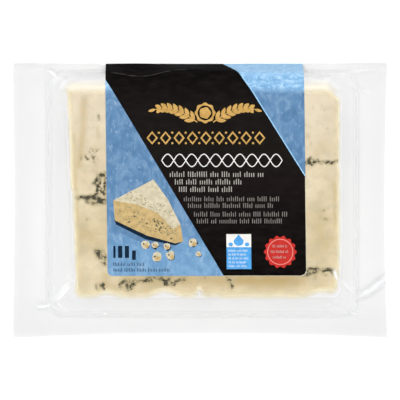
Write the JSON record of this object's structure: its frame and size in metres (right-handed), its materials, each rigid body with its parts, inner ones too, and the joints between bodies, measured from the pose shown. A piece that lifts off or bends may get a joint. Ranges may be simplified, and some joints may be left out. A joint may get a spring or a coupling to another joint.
{
  "type": "vacuum packed blue cheese slab",
  "caption": "Rectangular slab of blue-veined cheese in a clear vacuum pouch with a flat seal flange and a strip label that wraps over its top edge.",
  "frame": {"origin": "on the table, under the middle of the pack", "axes": "+X to the right across the front, +Y to the pack's top edge, +Z out of the front, which faces up"},
  "size_m": [0.1502, 0.1104, 0.0144],
  "materials": {
    "film": "clear glossy film, drawn tight over pale cheese",
    "label": "satin printed paper",
    "cheese": "moist, cut face with blue-green veins"
  },
  "bodies": {
    "root": {"pouch": "film", "label": "label"}
  },
  "joints": []
}
